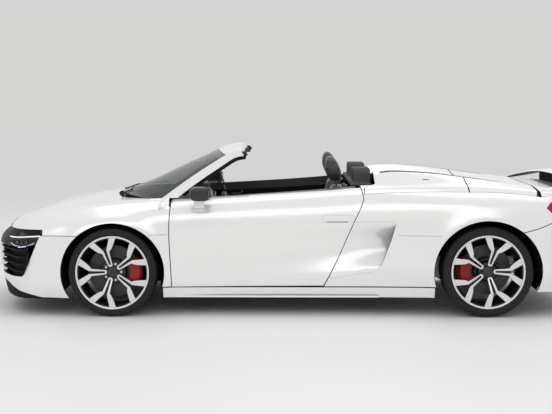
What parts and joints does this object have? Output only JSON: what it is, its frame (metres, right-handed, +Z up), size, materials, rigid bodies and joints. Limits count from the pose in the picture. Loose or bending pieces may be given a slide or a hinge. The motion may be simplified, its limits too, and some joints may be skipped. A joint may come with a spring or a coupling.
{
  "type": "roadster convertible",
  "caption": "Low mid-engined two-seat roadster, roof folded away, with opening doors, bonnet, roof cover and engine lid, and steered wheels.",
  "frame": {"origin": "on the ground, midway along and across the car", "axes": "+X towards the tail, -Y towards the car's left side, +Z up"},
  "size_m": [4.4298, 2.024, 1.196],
  "materials": {
    "white_paint": "gloss",
    "red_paint": "gloss",
    "black_plastic": "matte",
    "gloss_black": "gloss",
    "glass": "clear",
    "lamp_lens": "clear",
    "red_lens": "gloss",
    "tyre": "matte",
    "rim": "machined",
    "steel": "satin",
    "engine_metal": "cast",
    "leather": "grained"
  },
  "bodies": {
    "body": {"arch_liners": "black_plastic", "cabin_bulkhead": "black_plastic", "cowl_panel": "black_plastic", "dashboard": "black_plastic", "deck_frame": "black_plastic", "diffuser": "black_plastic", "engine_block": "engine_metal", "exhaust_tips": "steel", "floor_tub": "engine_metal", "front_bumper": "white_paint", "front_fenders": "white_paint", "front_grilles": "black_plastic", "front_splitter": "black_plastic", "front_suspension": "steel", "headlamps": "lamp_lens", "luggage_tub": "black_plastic", "rear_bumper": "white_paint", "rear_calipers": "red_paint", "rear_knuckles": "steel", "rear_quarters": "white_paint", "rear_suspension": "steel", "rear_vents": "black_plastic", "rear_wing": "white_paint", "seats": "leather", "side_intakes": "white_paint", "side_sills": "white_paint", "tail_deck": "white_paint", "tail_lamps": "red_lens", "windscreen_frame": "white_paint", "windscreen_glass": "glass", "windscreen_trim": "black_plastic"},
    "steering_left": {"knuckle_front_left": "steel", "caliper_front_left": "red_paint"},
    "steering_right": {"knuckle_front_right": "steel", "caliper_front_right": "red_paint"},
    "door_left": {"door_left": "white_paint", "door_trim_left": "black_plastic", "door_mirror_left": "gloss_black", "quarter_window_left": "glass"},
    "door_right": {"door_right": "white_paint", "door_trim_right": "black_plastic", "door_mirror_right": "gloss_black", "quarter_window_right": "glass"},
    "bonnet": {"bonnet": "white_paint"},
    "tonneau_cover": {"tonneau_cover": "white_paint"},
    "engine_lid": {"engine_lid": "white_paint"},
    "steering_wheel": {"steering_wheel": "leather"},
    "wheel_front_left": {"tyre_front_left": "tyre", "rim_front_left": "rim", "brake_disc_front_left": "steel"},
    "wheel_front_right": {"tyre_front_right": "tyre", "rim_front_right": "rim", "brake_disc_front_right": "steel"},
    "wheel_rear_left": {"tyre_rear_left": "tyre", "rim_rear_left": "rim", "brake_disc_rear_left": "steel"},
    "wheel_rear_right": {"tyre_rear_right": "tyre", "rim_rear_right": "rim", "brake_disc_rear_right": "steel"}
  },
  "joints": [
    {"name": "steer_left", "type": "hinge", "parent": "body", "child": "steering_left", "pos_m": [-1.283, -0.762, 0.314], "axis": [0, 0, 1], "range_deg": [-35, 35]},
    {"name": "spin_front_left", "type": "hinge", "parent": "steering_left", "child": "wheel_front_left", "pos_m": [-1.283, -0.819, 0.314], "axis": [0, -1, 0], "continuous": true},
    {"name": "spin_rear_left", "type": "hinge", "parent": "body", "child": "wheel_rear_left", "pos_m": [1.367, -0.796, 0.322], "axis": [0, -1, 0], "continuous": true},
    {"name": "door_hinge_left", "type": "hinge", "parent": "body", "child": "door_left", "pos_m": [-0.77, -0.892, 0.465], "axis": [0, 0, -1], "range_deg": [0, 60]},
    {"name": "steer_right", "type": "hinge", "parent": "body", "child": "steering_right", "pos_m": [-1.283, 0.762, 0.314], "axis": [0, 0, 1], "range_deg": [-35, 35]},
    {"name": "spin_front_right", "type": "hinge", "parent": "steering_right", "child": "wheel_front_right", "pos_m": [-1.283, 0.819, 0.314], "axis": [0, -1, 0], "continuous": true},
    {"name": "spin_rear_right", "type": "hinge", "parent": "body", "child": "wheel_rear_right", "pos_m": [1.367, 0.796, 0.322], "axis": [0, -1, 0], "continuous": true},
    {"name": "door_hinge_right", "type": "hinge", "parent": "body", "child": "door_right", "pos_m": [-0.77, 0.892, 0.465], "axis": [0, 0, 1], "range_deg": [0, 60]},
    {"name": "bonnet_hinge", "type": "hinge", "parent": "body", "child": "bonnet", "pos_m": [-1.064, 0, 0.819], "axis": [0, 1, 0], "range_deg": [0, 55]},
    {"name": "tonneau_cover_hinge", "type": "hinge", "parent": "body", "child": "tonneau_cover", "pos_m": [1.2335, 0, 0.97], "axis": [0, 1, 0], "range_deg": [0, 50]},
    {"name": "engine_lid_hinge", "type": "hinge", "parent": "body", "child": "engine_lid", "pos_m": [1.2425, 0, 0.962], "axis": [0, -1, 0], "range_deg": [0, 50]},
    {"name": "steering_wheel_turn", "type": "hinge", "parent": "body", "child": "steering_wheel", "pos_m": [-0.455, -0.365, 0.668], "axis": [0.9272, 0, 0.3746], "range_deg": [-455, 455]}
  ],
  "couplings": [
    {"joint": "steer_right", "follows": "steer_left", "ratio": 1},
    {"joint": "steering_wheel_turn", "follows": "steer_left", "ratio": -13}
  ]
}
